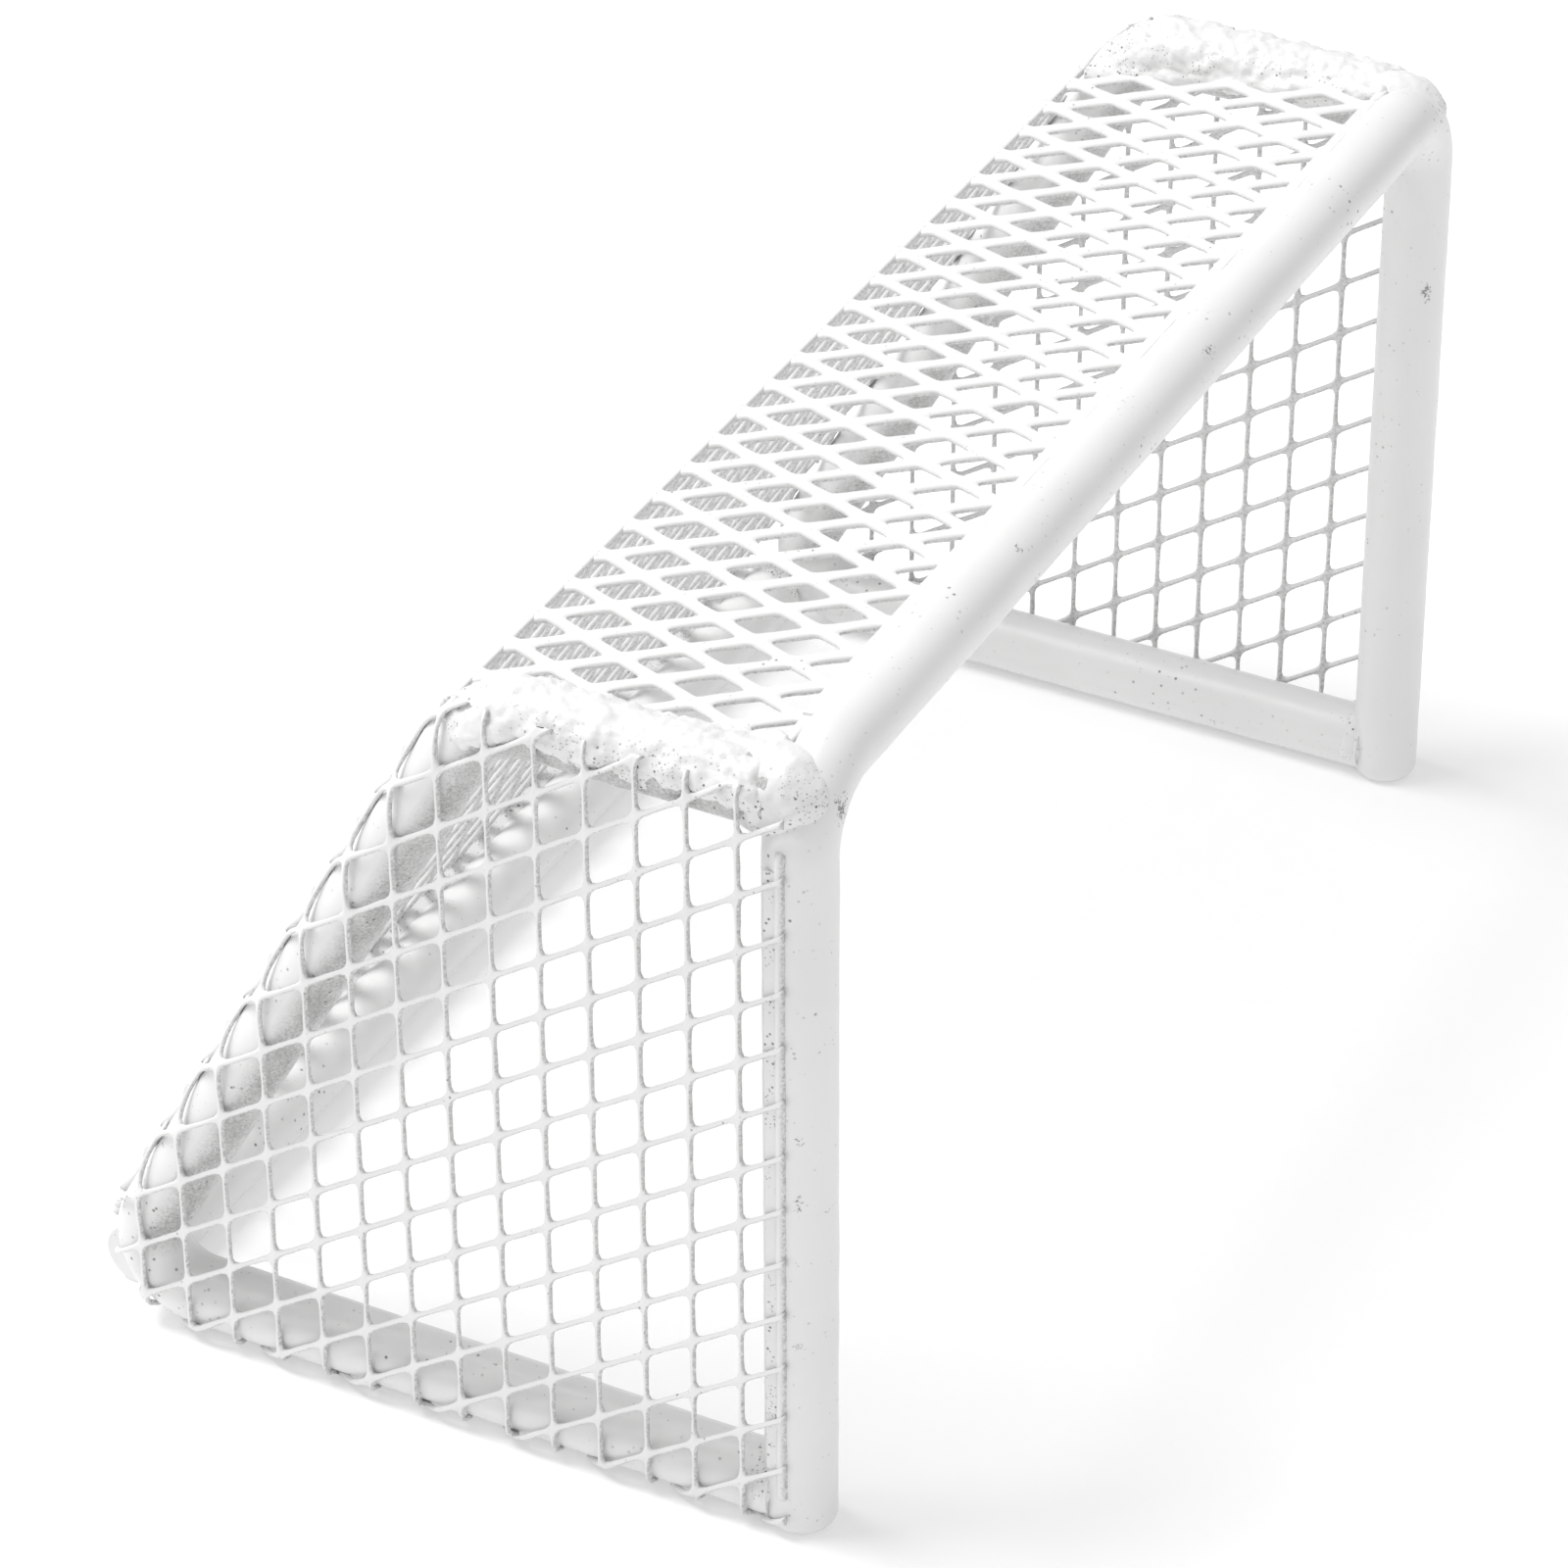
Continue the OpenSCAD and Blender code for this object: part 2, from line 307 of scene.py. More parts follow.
def flatLattice(name, node, turn, low, high, kind):
    # a flat sheet in local x, y with one crossing at node; its long diagonals lie along y before the turn
    short, tall = mesh["short"], mesh["long"]
    span = max(high[0] - low[0], high[1] - low[1]) * 1.5
    count = int(span / short + span / tall) + 4
    count += count % 2
    deselectAll()
    bpy.ops.mesh.primitive_grid_add(x_subdivisions=count, y_subdivisions=count, size=count)
    piece = bpy.context.object
    piece.name = name
    piece.rotation_euler = (0, 0, math.pi / 4)
    settle(piece)
    piece.scale = (short / math.sqrt(2), tall / math.sqrt(2), 1)
    settle(piece)
    spin = Matrix.Rotation(turn, 4, "Z")
    reach = tall * 0.75
    # the cells far outside go
    editAll(piece)
    bpy.ops.mesh.select_mode(type="FACE")
    bpy.ops.mesh.select_all(action="DESELECT")
    bpy.ops.object.mode_set(mode="OBJECT")
    for face in piece.data.polygons:
        spot = spin @ face.center + Vector((node[0], node[1], 0))
        inside = [low[k] - reach < spot[k] < high[k] + reach for k in (0, 1)]
        face.select = not all(inside)
    bpy.ops.object.mode_set(mode="EDIT")
    bpy.ops.mesh.delete(type="FACE")
    bpy.ops.mesh.select_all(action="SELECT")
    bpy.ops.mesh.inset(thickness=kind["strand"] / 2, use_individual=True)
    bpy.ops.mesh.delete(type="FACE")
    # two cuts across every strand keep the corners of the openings tight
    bpy.ops.mesh.select_mode(type="VERT")
    bpy.ops.object.mode_set(mode="OBJECT")
    left = min(v.co.x for v in piece.data.vertices)
    right = max(v.co.x for v in piece.data.vertices)
    bpy.ops.object.mode_set(mode="EDIT")
    for k in range(math.floor(left / (short / 2)), math.ceil(right / (short / 2)) + 1):
        for share in (mesh["cut"], 1 - mesh["cut"]):
            bpy.ops.mesh.select_all(action="SELECT")
            bpy.ops.mesh.bisect(plane_co=((k + share) * short / 2, 0, 0), plane_no=(1, 0, 0))
    bpy.ops.object.mode_set(mode="OBJECT")
    rise = math.tan(kind["lean"])
    for v in piece.data.vertices:
        # every strand leans about its own middle line
        u, w = v.co.x / short + v.co.y / tall, v.co.x / short - v.co.y / tall
        gaps = ((u - round(u)) * short, (w - round(w)) * short)
        weights = [1 / (abs(g) + mesh["blend"]) ** 2 for g in gaps]
        v.co.z = rise * sum(g * k for g, k in zip(gaps, weights)) / sum(weights)
        # paint fills the sharp corners of the openings
        nearX, nearY = round(v.co.x / (short / 2)), round(v.co.y / (tall / 2))
        dx, dy = v.co.x - nearX * short / 2, v.co.y - nearY * tall / 2
        atCorner = abs(dx) < mesh["snap"] and mesh["corner"][0] < abs(dy) < mesh["corner"][1]
        if atCorner and (nearX + nearY) % 2 == 0:
            v.co.y += math.copysign(kind["web"], dy)
    useModifier(piece, "SOLIDIFY", thickness=kind["thick"], offset=0, use_even_offset=False)
    useModifier(piece, "SUBSURF", levels=1, render_levels=1)
    piece.matrix_world = Matrix.Translation((node[0], node[1], 0)) @ spin
    settle(piece)
    return piece


def trimSheet(piece, cuts):
    # every cut is a point and the direction that falls off
    for at, off in cuts:
        editAll(piece)
        bpy.ops.mesh.bisect(plane_co=(*at, 0), plane_no=(*off, 0), use_fill=True, clear_outer=True)
        bpy.ops.object.mode_set(mode="OBJECT")


def dropOffcuts(piece):
    # the trims leave loose bits of strand; only the sheet itself is kept
    name = piece.name
    editAll(piece)
    bpy.ops.mesh.separate(type="LOOSE")
    bpy.ops.object.mode_set(mode="OBJECT")
    parts = sorted(bpy.context.selected_objects, key=lambda part: len(part.data.vertices))
    sheet = parts.pop()
    deselectAll()
    for part in parts:
        bpy.data.objects.remove(part)
    sheet.name = name
    return sheet


def flatStrip(name, low, high, thick, count, edge=0.25 * mm):
    # a flat bar in local x, y with softened edges, divided along its length
    deselectAll()
    bpy.ops.mesh.primitive_cube_add(size=1, location=((low[0] + high[0]) / 2, (low[1] + high[1]) / 2, 0))
    piece = bpy.context.object
    piece.name = name
    piece.scale = (high[0] - low[0], high[1] - low[1], thick)
    settle(piece)
    editAll(piece)
    bpy.ops.mesh.bevel(offset=edge, segments=2, affect="EDGES")
    axis = 0 if high[0] - low[0] > high[1] - low[1] else 1
    for k in range(1, count):
        at, across = [0, 0, 0], [0, 0, 0]
        at[axis] = low[axis] + (high[axis] - low[axis]) * k / count
        across[axis] = 1
        bpy.ops.mesh.select_all(action="SELECT")
        bpy.ops.mesh.bisect(plane_co=at, plane_no=across)
    bpy.ops.object.mode_set(mode="OBJECT")
    return piece


def markShadedSides(piece, toward):
    # painted shade: the strand sides that face toward, the front and down, away from the lamp, are marked
    # for the paint to go grey; these sheared sides also take thinner paint
    facing = Vector(toward).normalized()
    marked = piece.data.attributes.new("shadedSide", "FLOAT", "POINT")
    start, fade = mesh["shadedSideRamp"]
    for v in piece.data.vertices:
        marked.data[v.index].value = min(1, max(0, (v.normal.dot(facing) + start) / fade))


# side sheets: drawn flat with x to the back, y up and z away from the goal, then dressed round the rods
sideMesh = {
    "strand": 0.54 * mm,         # width of a strand
    "thick": 0.58 * mm,          # before the corners are rounded off
    "web": 0.3 * mm,             # paint in the sharp corners
    "lean": math.radians(-30),   # tilt of the strands
    "crossing": (4.95 * mm, 6.36 * mm),  # one crossing, behind the post axis and above the floor
    "front": 0.3 * mm,           # how far the sheet reaches past the post axis
    "top": 2.6 * mm,             # and past the top bar's axis
    "floor": 3.9 * mm,           # the ground bar's
    "slope": 6.4 * mm,           # the slope's
    "back": 3.2 * mm,            # and the rearmost point of the floor bend's
    "bulge": 0.4 * mm,           # how far it stands off a rod at first
    "sinkAbove": (0.3 * mm, 0.9),    # how deep it lies in the paint further round, and from which angle
    "sinkBelow": (1.5 * mm, 0.5),
    "edge": 1.3 * mm,            # width of the plain edge on the post
    "edgeThick": 1.2 * mm,
    "edgeIn": 0.62 * mm,         # how deep that edge lies
    "wave": 0.16 * mm,
}


def nearestOnRods(y, z):
    # the nearest point of the bent rod's centre line and the direction outwards from it
    spots = []
    if y <= topCentre.y:
        spots.append((Vector((0, y, goal["sideZ"])), Vector((0, 0, 1))))
    if y <= footCentre.y:
        spots.append((Vector((0, y, goal["floorZ"])), Vector((0, 0, -1))))
    along = (Vector((0, y, z)) - slopeTop).dot(downSlope)
    if topTrim <= along <= (slopeFoot - slopeTop).length - footTrim:
        spots.append((slopeTop + downSlope * along, offSlope))
    for centre, radius, low, high in ((topCentre, goal["topBend"], math.pi / 2 - slope, math.pi / 2),
                                      (footCentre, goal["floorBend"], -math.pi / 2, math.pi / 2 - slope)):
        angle = math.atan2(z - centre.z, y - centre.y)
        if low <= angle <= high:
            out = Vector((0, math.cos(angle), math.sin(angle)))
            spots.append((centre + out * radius, out))
    here = Vector((0, y, z))
    return min(spots, key=lambda s: (here - s[0]).length) if spots else (here, Vector((0, 0, 1)))


def standOff(turn, below):
    sink, start = sideMesh["sinkBelow"] if below else sideMesh["sinkAbove"]
    return sideMesh["bulge"] * math.sin(min(turn, 1.2) * 2.6) - sink * max(0, turn - start)


def makeSideSheet(name, side):
    # one strand family stands upright, the other rises to the front
    tilt = math.atan2(mesh["short"], mesh["long"])
    node = (postY + sideMesh["crossing"][0], sideMesh["crossing"][1])
    front = postY - sideMesh["front"]
    low = (postY - 1 * mm, 0)
    high = (postY + goal["baseDepth"] + 9 * mm, goal["sideZ"] + 4 * mm)
    piece = flatLattice(name, node, tilt, low, high, sideMesh)
    overSlope = slopeTop + offSlope * sideMesh["slope"]
    trimSheet(piece, [
        ((front, 0), (-1, 0)),
        ((0, goal["sideZ"] + sideMesh["top"]), (0, 1)),
        ((0, goal["floorZ"] - sideMesh["floor"]), (0, -1)),
        ((overSlope.y, overSlope.z), (offSlope.y, offSlope.z)),
        ((footCentre.y + goal["floorBend"] + sideMesh["back"], 0), (1, 0)),
    ])
    piece = dropOffcuts(piece)
    foot, head = (front, goal["floorZ"] + 1 * mm), (front + sideMesh["edge"], goal["barZ"] - 6 * mm)
    strip = flatStrip("edge", foot, head, sideMesh["edgeThick"], 40, 0.5 * mm)
    strip.data.transform(Matrix.Translation((0, 0, -sideMesh["edgeIn"])))
    piece = joined(piece, strip)
    mid = rod + goal["sheet"] * 0.5
    for v in piece.data.vertices:
        y, z, lift = v.co.x, v.co.y, v.co.z
        spot, out = nearestOnRods(y, z)
        past = (Vector((0, y, z)) - spot).dot(out)
        if past > 0:
            turn = past / mid
            radius = mid + lift + standOff(turn, out.z < 0)
            at = spot + out * radius * math.sin(turn)
            v.co = Vector((side * (half + radius * math.cos(turn)), at.y, at.z))
        else:
            v.co = Vector((side * (half + mid + lift), y, z))
    outward(piece)
    wavy(piece, "paintLump", sideMesh["wave"])
    # painted shade on the strand sides that face the front and down
    markShadedSides(piece, (side * -0.1, -1, -0.25))
    smooth(piece)
    return piece


sideSheets = {"left": makeSideSheet("sideMeshLeft", -1), "right": makeSideSheet("sideMeshRight", 1)}
print("side sheets made", [len(p.data.polygons) for p in sideSheets.values()])


# top and back sheet: drawn flat with y down from the fold, then folded and set in place
roofMesh = {
    "strand": 1.2 * mm,          # wider than the side's, as it carries more paint
    "thick": 0.85 * mm,
    "web": 0.75 * mm,
    "lean": math.radians(27),
    "crossing": (0.3 * mm, -8.6 * mm - mesh["long"] / 2),
    "front": 0.3 * mm,           # how far the sheet reaches over the crossbar
    "side": 0.4 * mm,            # how far the back stops short of the side rods' axes
    "lap": 0.4 * mm,             # how far the top laps onto the side rods
    "corner": 9 * mm,            # height of the cut at the back's lower corners
    "cornerOff": (0.9, 0.42),    # and the direction that it takes off
    "bend": 0.9 * mm,            # half the length that the fold takes
    "foldIn": 0.25 * mm,         # how much the fold is flattened
    "foldEdge": 1.25 * mm,       # half the width of the plain strip on the fold
    "edge": 1 * mm,              # width of the front edge and the hem
    "edgeThick": 0.85 * mm,
    "hemEnds": 4.4 * mm,         # where the hem ends, from the side rods' axes
    "wave": 0.14 * mm,
}


def foldedPlace(x, y, lift):
    soft = roofMesh["bend"]
    share = min(1, max(0, (y + soft) / (2 * soft)))
    angle = roofFall + (slope - roofFall) * share
    out = Vector((0, math.sin(angle), math.cos(angle)))
    upRoof = Vector((0, -math.cos(roofFall), math.sin(roofFall)))
    # up the top or down the back, from the fold
    at = upRoof * max(0, -y) + downSlope * max(0, y)
    if abs(y) <= soft:
        at -= out * roofMesh["foldIn"] * (1 - abs(y) / soft)
    spot = foldLine + at + out * (lift - goal["sheet"] * 0.5)
    return Vector((x, spot.y, spot.z))


def trimTopSide(piece, sx, side):
    # the top part stops between the side rods, and its cut ends are closed
    editAll(piece)
    bpy.ops.mesh.bisect(plane_co=(sx * side, 0, 0), plane_no=(sx, 0, 0))
    bpy.ops.mesh.select_all(action="DESELECT")
    bpy.ops.object.mode_set(mode="OBJECT")
    for face in piece.data.polygons:
        face.select = face.center.x * sx > side and face.center.y < 0.5 * mm
    bpy.ops.object.mode_set(mode="EDIT")
    bpy.ops.mesh.select_mode(type="FACE")
    bpy.ops.mesh.delete(type="FACE")
    bpy.ops.mesh.select_mode(type="VERT")
    bpy.ops.mesh.select_all(action="SELECT")
    bpy.ops.mesh.fill_holes(sides=60)
    bpy.ops.object.mode_set(mode="OBJECT")


def makeRoofSheet():
    front = -roofRun - roofMesh["front"]
    low, high = (-half, -roofRun - 1 * mm), (half, backRun)
    piece = flatLattice("roofMesh", roofMesh["crossing"], 0, low, high, roofMesh)
    side, offX, offY = half - roofMesh["side"], *roofMesh["cornerOff"]
    trimSheet(piece, [
        ((0, front), (0, -1)), ((0, backRun), (0, 1)),
        ((-side, 0), (-1, 0)), ((side, 0), (1, 0)),
        ((-side, backRun - roofMesh["corner"]), (-offX, offY)),
        ((side, backRun - roofMesh["corner"]), (offX, offY)),
    ])
    inner = half - rod
    for sx in (-1, 1):
        trimTopSide(piece, sx, inner + roofMesh["lap"])
    piece = dropOffcuts(piece)
    wide, thick = roofMesh["foldEdge"], roofMesh["edgeThick"]
    strip = flatStrip("foldEdge", (-inner, -wide), (inner, wide), thick, 60)
    editAll(strip)
    for k in (-0.8, -0.4, 0, 0.4, 0.8):
        bpy.ops.mesh.select_all(action="SELECT")
        bpy.ops.mesh.bisect(plane_co=(0, k * mm, 0), plane_no=(0, 1, 0))
    bpy.ops.object.mode_set(mode="OBJECT")
    edge = flatStrip("frontEdge", (-inner, front), (inner, -roofRun + roofMesh["edge"]), thick, 50)
    hemEnd = half - roofMesh["hemEnds"]
    hem = flatStrip("backEdge", (-hemEnd, backRun - roofMesh["edge"]), (hemEnd, backRun), thick, 50)
    piece = joined(piece, strip, edge, hem)
    for v in piece.data.vertices:
        v.co = foldedPlace(v.co.x, v.co.y, v.co.z)
    outward(piece)
    wavy(piece, "paintLump", roofMesh["wave"])
    # painted shade on the strand sides that face the front and down
    markShadedSides(piece, (0, -0.8, -1))
    smooth(piece)
    return piece


roofSheet = makeRoofSheet()
print("roof and back made", len(roofSheet.data.polygons))


# rough filler over the side top bars
seam = {
    "lift": 1.5 * mm,            # middle of the filler above the side bar's axis
    "size": 3.45 * mm,           # its radius
    "broad": 1.3,                # how much wider than high it is
    "inset": 0.1 * mm,           # from the bar's axis towards the middle
    "start": (1.6 * mm, -0.8 * mm),  # behind the post axis, and from the height of its middle
    "nose": ((1.5, 0.8 * mm), (1.25, 1 * mm), (1.067, 1 * mm)),  # growth and length of the rounded start
    "noseRise": 0.25 * mm,
    "short": 4.4 * mm,           # how much less it runs than from the post axis to the bend
    "overBend": 0.85,            # share of the bend that it covers
    "end": 0.8,                  # how much it narrows at the end
    "ridge": 1.2 * mm,           # radius of the ridge where it meets the top sheet
    "ridgeStart": (3.4 * mm, 1.5 * mm),  # behind the post axis and above the crossbar's
    "ridgeShort": (5 * mm, 1.7 * mm),    # how much less it runs and rises than to the fold
    "voxel": 0.34 * mm,
    "smoothing": 3,
    "lump": 1.1 * mm,
    "crust": 0.62 * mm,
}


def fuse(piece, voxel, smoothing):
    useModifier(piece, "REMESH", mode="VOXEL", voxel_size=voxel)
    useModifier(piece, "SMOOTH", factor=0.5, iterations=smoothing)


def roughen(piece, kind):
    fuse(piece, kind["voxel"], kind["smoothing"])
    wavy(piece, "fillerLump", kind["lump"])
    wavy(piece, "fillerCrust", kind["crust"])
    smooth(piece)


def makeRidge(side):
    (back, up), (short, low) = seam["ridgeStart"], seam["ridgeShort"]
    start = (side * (half - rod - seam["inset"]), postY + back, goal["barZ"] + up)
    ridge = startTube("ridge", start, (math.pi / 2, 0, 0), seam["ridge"], 14)
    runStraight(Vector((0, foldLine.y - postY - short, foldLine.z - goal["barZ"] - low)))
    closeTube(ridge, 0)
    return ridge


def makeSeam(name, side):
    x, high = side * (half - seam["inset"]), goal["sideZ"] + seam["lift"]
    start = (x, postY + seam["start"][0], high + seam["start"][1])
    piece = startTube(name, start, (math.pi / 2, 0, 0), seam["size"] * 0.5, 28)
    for grow, step in seam["nose"]:
        runStraight(Vector((0, step, seam["noseRise"])))
        bpy.ops.transform.resize(value=(grow, 1, grow), center_override=(x, 0, high))
    runStraight(Vector((0, topCentre.y - postY - seam["short"], 0)))
    runBend((x, topCentre.y, topCentre.z + seam["lift"]), Vector((1, 0, 0)), slope * seam["overBend"])
    bpy.ops.transform.resize(value=(seam["end"], seam["end"], seam["end"]))
    closeTube(piece, 0)
    for v in piece.data.vertices:
        v.co.x = x + (v.co.x - x) * seam["broad"]
    piece = joined(piece, makeRidge(side))
    roughen(piece, seam)
    return piece


# welds: place from the middle, behind the post axis and above the floor, then three radii
weld = {"voxel": 0.3 * mm, "smoothing": 2, "lump": 0.7 * mm, "crust": 0.2 * mm}
sideZ, floorZ, rear = goal["sideZ"], goal["floorZ"], goal["rearDepth"]
welds = {
    "corner": ((half - 0.9 * mm, 3.0 * mm, sideZ - 0.3 * mm), (5.0 * mm, 6.2 * mm, 4.9 * mm)),
    "foot": ((half, 3.6 * mm, floorZ + 0.2 * mm), (4.2 * mm, 2.4 * mm, 4.1 * mm)),
    "rear": ((half - 4.4 * mm, rear, floorZ + 0.3 * mm), (1.7 * mm, 4.3 * mm, 4.2 * mm)),
}


def makeWeld(name, at, size):
    # a lump where two rods meet
    deselectAll()
    bpy.ops.mesh.primitive_uv_sphere_add(segments=32, ring_count=20, radius=1, location=at)
    piece = bpy.context.object
    piece.name = name
    piece.scale = size
    settle(piece)
    roughen(piece, weld)
    return piece


seams = {"left": makeSeam("seamFillerLeft", -1), "right": makeSeam("seamFillerRight", 1)}
weldPieces = {}
for word, side in (("left", -1), ("right", 1)):
    for kind, ((x, y, z), size) in welds.items():
        weldPieces[kind, word] = makeWeld(kind + "Weld" + word.capitalize(), (side * x, postY + y, z), size)
print("filler and welds made")


# shader helper: a socket that can be added, multiplied and so on
class Signal:
    def __init__(self, paint, socket):
        self.paint, self.socket = paint, socket

    def step(self, operation, first, second):
        return self.paint.node("ShaderNodeMath", {"operation": operation}, {0: first, 1: second})

    def __add__(self, other):
        return self.step("ADD", self, other)

    def __radd__(self, other):
        return self.step("ADD", other, self)

    def __sub__(self, other):
        return self.step("SUBTRACT", self, other)

    def __rsub__(self, other):
        return self.step("SUBTRACT", other, self)

    def __mul__(self, other):
        return self.step("MULTIPLY", self, other)

    def __truediv__(self, other):
        return self.step("DIVIDE", self, other)

    def above(self, limit):
        return self.step("GREATER_THAN", self, limit)

    def clipped(self):
        return self.paint.node("ShaderNodeClamp", {}, {0: self})


class Paint:
    def __init__(self, name):
        self.material = bpy.data.materials.new(name)
        self.material.use_nodes = True
        self.tree = self.material.node_tree
        self.shader = next(n for n in self.tree.nodes if n.type == "BSDF_PRINCIPLED")
        self.place = self.node("ShaderNodeTexCoord", {}, {}, "Object")

    def node(self, kind, settings, inputs, out=0):
        made = self.tree.nodes.new(kind)
        for key, value in settings.items():
            setattr(made, key, value)
        for key, value in inputs.items():
            self.feed(made.inputs[key], value)
        return Signal(self, made.outputs[out])

    def feed(self, socket, value):
        if isinstance(value, Signal):
            self.tree.links.new(value.socket, socket)
        else:
            socket.default_value = value

    def noise(self, scale, detail=2, rough=0.5):
        inputs = {"Vector": self.place, "Scale": scale, "Detail": detail, "Roughness": rough}
        return self.node("ShaderNodeTexNoise", {}, inputs)

    def spots(self, scale, size):
        # 1 in the middle of scattered dots, 0 outside them
        inputs = {"Vector": self.place, "Scale": scale}
        near = self.node("ShaderNodeTexVoronoi", {"feature": "F1"}, inputs, "Distance")
        return (1 - near / size).clipped()

    def near(self, point, size, stretch):
        # 1 at the point, 0 at size from it
        target = tuple(a * b for a, b in zip(point, stretch))
        scaled = self.node("ShaderNodeVectorMath", {"operation": "MULTIPLY"}, {0: self.place, 1: stretch})
        gap = self.node("ShaderNodeVectorMath", {"operation": "DISTANCE"}, {0: scaled, 1: target}, "Value")
        return (1 - gap / size).clipped()

    def beyond(self, point, direction, depth):
        # 0 at a plane through the point, 1 at depth along the direction
        moved = self.node("ShaderNodeVectorMath", {"operation": "SUBTRACT"}, {0: self.place, 1: point})
        inputs = {0: moved, 1: direction}
        along = self.node("ShaderNodeVectorMath", {"operation": "DOT_PRODUCT"}, inputs, "Value")
        return (along / depth).clipped()

    def mixed(self, amount, first, second):
        return self.node("ShaderNodeMix", {"data_type": "RGBA"}, {0: amount, 6: first, 7: second}, 2)


def paintMarks(p, look):
    # specks that come in groups, pits, and the scars one by one
    gate = (p.noise(look["gateScale"]) - look["gate"]) * look["gateSharp"]
    specks = p.spots(look["speckScale"], look["speckSize"]) * gate.clipped()
    thin = (p.noise(look["gateScale"] * 2.3, 1) - 0.5).above(0.0)
    pits = p.spots(look["pitScale"], look["pitSize"]) * thin
    marks = (specks * look["speckDark"] + pits * look["pitDark"]).clipped()
    # painted highlight: above the given height the dark marks thin out, so the top stays clean white
    if look["litTopAbove"]:
        under = p.beyond((0, 0, look["litTopAbove"]), (0, 0, -1), look["litTopOver"])
        marks = marks * (look["litTopMarksLeft"] + under)
    for point, size, stretch in look["scars"]:
        here = p.near(point, size, stretch)
        broken = (p.noise(look["scarScale"], 3, 0.7) - 0.5) * 4.5 + here * 0.9 - 0.62
        marks = (marks + (broken * 3).clipped() * (here * 4).clipped() * look["scarDark"]).clipped()
    return marks


def makePaint(name, look):
    p = Paint(name)
    broad = p.noise(look["broadScale"], 3)
    ripple = p.noise(look["rippleScale"], 3, 0.55)
    grain = p.noise(look["grainScale"], 2, 0.6)
    marks = paintMarks(p, look)
    tone = p.mixed(((broad - 0.5) * 1.6 + 0.5).clipped(), look["white"], look["shade"])
    if look["grimeAndShade"]:
        # painted shade together with thin grey paint and dark specks: mottled grey inside the line of the
        # slope, on the slope rod's side that faces the front and down, above the ground bar
        inner = p.beyond(tuple(slopeTop), tuple(-offSlope), look["grimeShadeOver"])
        inner = inner * p.beyond((0, 0, look["grimeShadeFrom"]), (0, 0, 1), look["grimeShadeFade"])
        grimeAndShadeMix = (inner * (0.3 + ripple + (grain - 0.5) * 1.6) * look["grimeAndShade"]).clipped()
        tone = p.mixed(grimeAndShadeMix, tone, look["grimeShadeTone"])
        marks = (marks + p.spots(look["grainScale"], 0.3) * inner * 0.9).clipped()
    if look["shadedSide"]:
        # painted shade on the strand sides that face the front and down, with thinner paint on these
        # sheared sides
        shadedSideMask = p.node("ShaderNodeAttribute", {"attribute_name": "shadedSide"}, {}, "Fac")
        spread = (shadedSideMask * (0.55 + (grain - 0.5) * 2.2) * look["shadedSide"]).clipped()
        tone = p.mixed(spread, tone, look["grimeShadeTone"])
    height = ripple * look["rippleHeight"] + grain * look["grainHeight"] - marks * look["pitDepth"]
    bump = p.node("ShaderNodeBump", {}, {"Strength": look["bump"], "Distance": 0.3 * mm, "Height": height})
    p.feed(p.shader.inputs["Base Color"], p.mixed(marks, tone, look["mark"]))
    p.feed(p.shader.inputs["Roughness"], (look["rough"] + (ripple - 0.5) * 0.3 + marks * 0.25).clipped())
    p.feed(p.shader.inputs["Normal"], bump)
    p.shader.inputs["IOR"].default_value = look["ior"]
    p.shader.inputs["Coat Weight"].default_value = look["coat"]
    p.shader.inputs["Coat Roughness"].default_value = look["coatRough"]
    return p.material


# pits, scratches and chips on the front frame: place, size and stretch
frontScars = [
    ((-79.4 * mm, -47.2 * mm, 93.4 * mm), 2.0 * mm, (1.2, 1, 0.8)),
    ((-82.2 * mm, -47.1 * mm, 44.2 * mm), 2.4 * mm, (1, 1, 7)),
    ((-84.65 * mm, -44.97 * mm, 54.2 * mm), 0.8 * mm, (1, 1, 1)),
    ((-84.67 * mm, -44.96 * mm, 45.8 * mm), 1.0 * mm, (1, 1.6, 0.5)),
    ((-84.67 * mm, -44.91 * mm, 26.7 * mm), 0.8 * mm, (1, 1, 1)),
    ((-35.2 * mm, -45.8 * mm, 99.1 * mm), 0.9 * mm, (1, 1, 1)),
    ((12.0 * mm, -46.4 * mm, 98.4 * mm), 1.1 * mm, (0.6, 1, 1)),
    ((78.3 * mm, -46.3 * mm, 71.6 * mm), 1.0 * mm, (1, 1, 0.5)),
]

# white paint on the plain rods; the scales are per metre
rodLook = {
    "white": (0.86, 0.86, 0.855, 1), "shade": (0.8, 0.8, 0.795, 1), "broadScale": 60,
    "rough": 0.38, "ior": 1.48, "coat": 0.15, "coatRough": 0.25,
    "bump": 0.35, "rippleScale": 260, "rippleHeight": 0.5, "grainScale": 2600, "grainHeight": 0.12,
    "mark": (0.16, 0.15, 0.14, 1), "gateScale": 90, "gate": 0.56, "gateSharp": 8,
    "speckScale": 800, "speckSize": 0.2, "speckDark": 1.4,
    "pitScale": 900, "pitSize": 0.14, "pitDark": 0.5, "pitDepth": 0.5,
    "scars": [], "scarScale": 2300, "scarDark": 0.8,
    "litTopAbove": 0, "litTopOver": 2.5 * mm, "litTopMarksLeft": 0.12,   # few marks above this height: a painted highlight that keeps the lit top clean
    # grey of the painted shade and thin paint, also used on the strand sides, and the depth inside the
    # slope axis over which it comes in
    "grimeAndShade": 0, "grimeShadeTone": (0.34, 0.34, 0.335, 1), "grimeShadeOver": 2.2 * mm,
    "grimeShadeFrom": 9 * mm, "grimeShadeFade": 3 * mm,    # the painted shade and thin grey paint start at this height
    "shadedSide": 0,
}
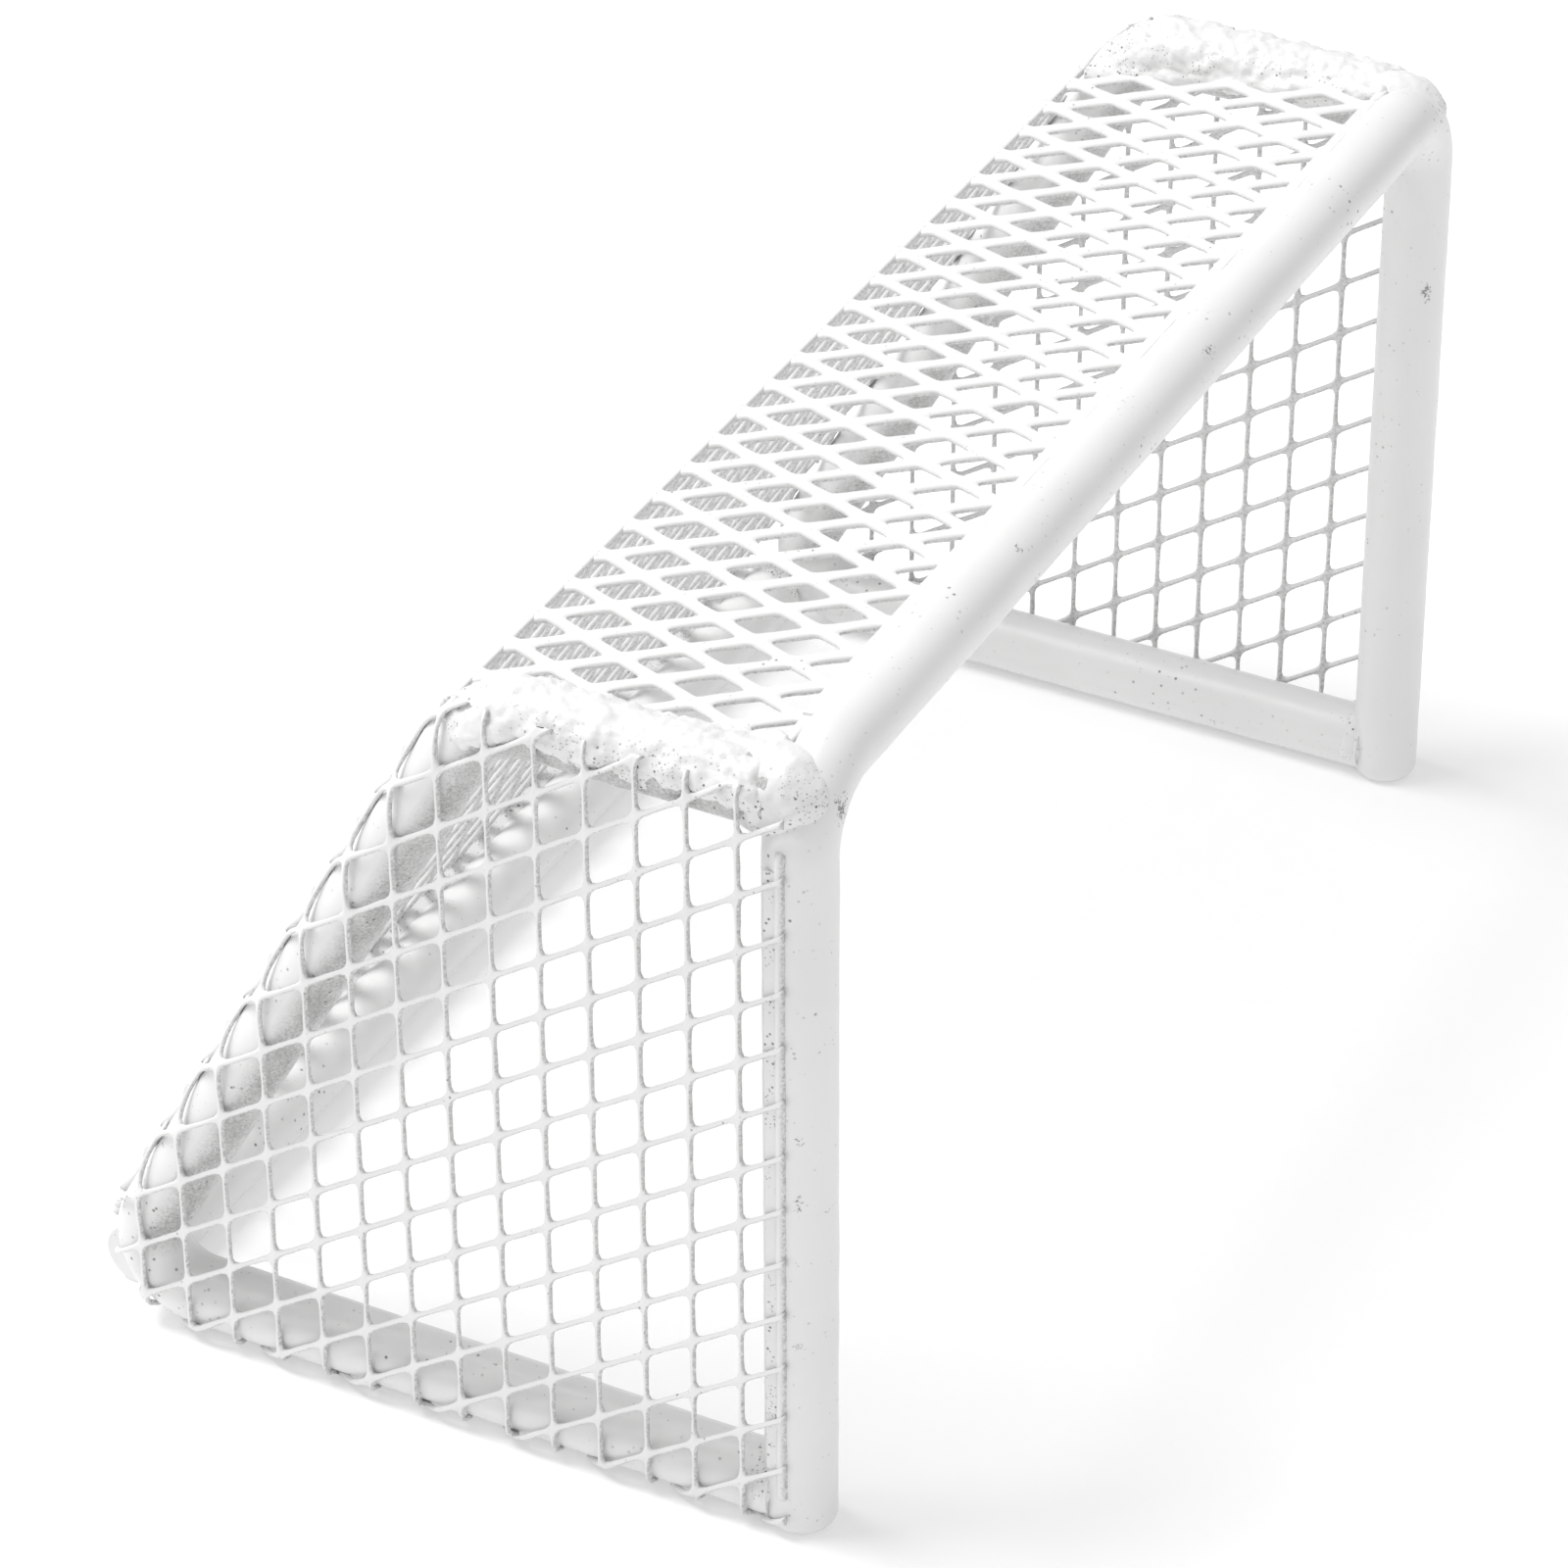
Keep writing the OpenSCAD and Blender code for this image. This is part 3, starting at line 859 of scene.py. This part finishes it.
frontLook = dict(rodLook, scars=frontScars)
# the side frames take painted shade mixed with thin grey paint inside the slope
sideLook = dict(rodLook, grimeAndShade=0.75, gate=0.5)
# the sheets take painted shade on the strand sides that face the front and down
sheetLook = dict(rodLook, shadedSide=0.8, speckScale=900, gate=0.6, rippleScale=420, bump=0.4, rough=0.42)
# the filler keeps its top nearly free of marks, a painted highlight
fillerLook = dict(rodLook, litTopAbove=98.8 * mm, gate=0.44, speckScale=1250, speckSize=0.24,
                  pitScale=2300, pitSize=0.28, pitDark=0.9, rippleScale=500, rippleHeight=0.8,
                  bump=0.6, rough=0.5)

rodPaint = makePaint("rodPaint", rodLook)
frontPaint = makePaint("frontPaint", frontLook)
sidePaint = makePaint("sidePaint", sideLook)
sheetPaint = makePaint("sheetPaint", sheetLook)
fillerPaint = makePaint("fillerPaint", fillerLook)


def register(piece, material, slotName, *nodes):
    piece.data.materials.clear()
    piece.data.materials.append(material)
    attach(piece, "root")
    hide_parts(*nodes)


register(frontFrame, frontPaint, "rod", "front_frame")
register(rearBar, rodPaint, "rod", "rear_bar")
register(roofSheet, sheetPaint, "mesh", "roof_net")
for word in ("left", "right"):
    register(sideFrames[word], sidePaint, "rod", "side_frame_" + word)
    register(sideSheets[word], sheetPaint, "mesh", "net_" + word)
    register(seams[word], fillerPaint, "filler", "seam_bead_" + word)
    for kind in welds:
        register(weldPieces[kind, word], fillerPaint, "filler", kind + "_weld_" + word)
# the thin beads keep their own shape and only take the paint
for name in ("crossbar_bead", "rear_bead", "post_bead_left", "post_bead_right"):
    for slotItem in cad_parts[name].material_slots:
        slotItem.material = fillerPaint
print("materials set")


# pale floor, one wide lamp high behind the goal and an even room
stage = {
    "floor": (0.9, 0.9, 0.9, 1), "floorRough": 0.9, "glow": 0.2, "floorSize": 6, "floorDrop": 0.05 * mm,
    "lampAt": (-0.12, 0.5, 1.06), "lampAim": (0, 0, 0.04), "lampSize": 0.65, "lampPower": 9.5,
    "room": 0.6,
}


def makeFloor():
    deselectAll()
    bpy.ops.mesh.primitive_plane_add(size=stage["floorSize"], location=(0, 0, -stage["floorDrop"]))
    floor = bpy.context.object
    floor.name = "studioFloor"
    material = bpy.data.materials.new("floorPaper")
    material.use_nodes = True
    shader = next(n for n in material.node_tree.nodes if n.type == "BSDF_PRINCIPLED")
    shader.inputs["Base Color"].default_value = stage["floor"]
    shader.inputs["Roughness"].default_value = stage["floorRough"]
    shader.inputs["Emission Color"].default_value = (1, 1, 1, 1)
    shader.inputs["Emission Strength"].default_value = stage["glow"]
    floor.data.materials.append(material)


def addLamp(name, place, aim, size, power):
    deselectAll()
    bpy.ops.object.light_add(type="AREA", location=place)
    lamp = bpy.context.object
    lamp.name = name
    lamp.data.shape = "DISK"
    lamp.data.size = size
    lamp.data.energy = power
    lamp.rotation_mode = "QUATERNION"
    lamp.rotation_quaternion = (Vector(aim) - Vector(place)).to_track_quat("-Z", "Y")


def makeRoom(strength):
    world = bpy.data.worlds.new("softRoom")
    world.use_nodes = True
    light = world.node_tree.nodes["Background"].inputs
    light["Color"].default_value = (1, 1, 1, 1)
    light["Strength"].default_value = strength
    bpy.context.scene.world = world


makeFloor()
addLamp("keyLamp", stage["lampAt"], stage["lampAim"], stage["lampSize"], stage["lampPower"])
makeRoom(stage["room"])
bpy.context.scene.view_settings.view_transform = "Standard"
print("stage set")
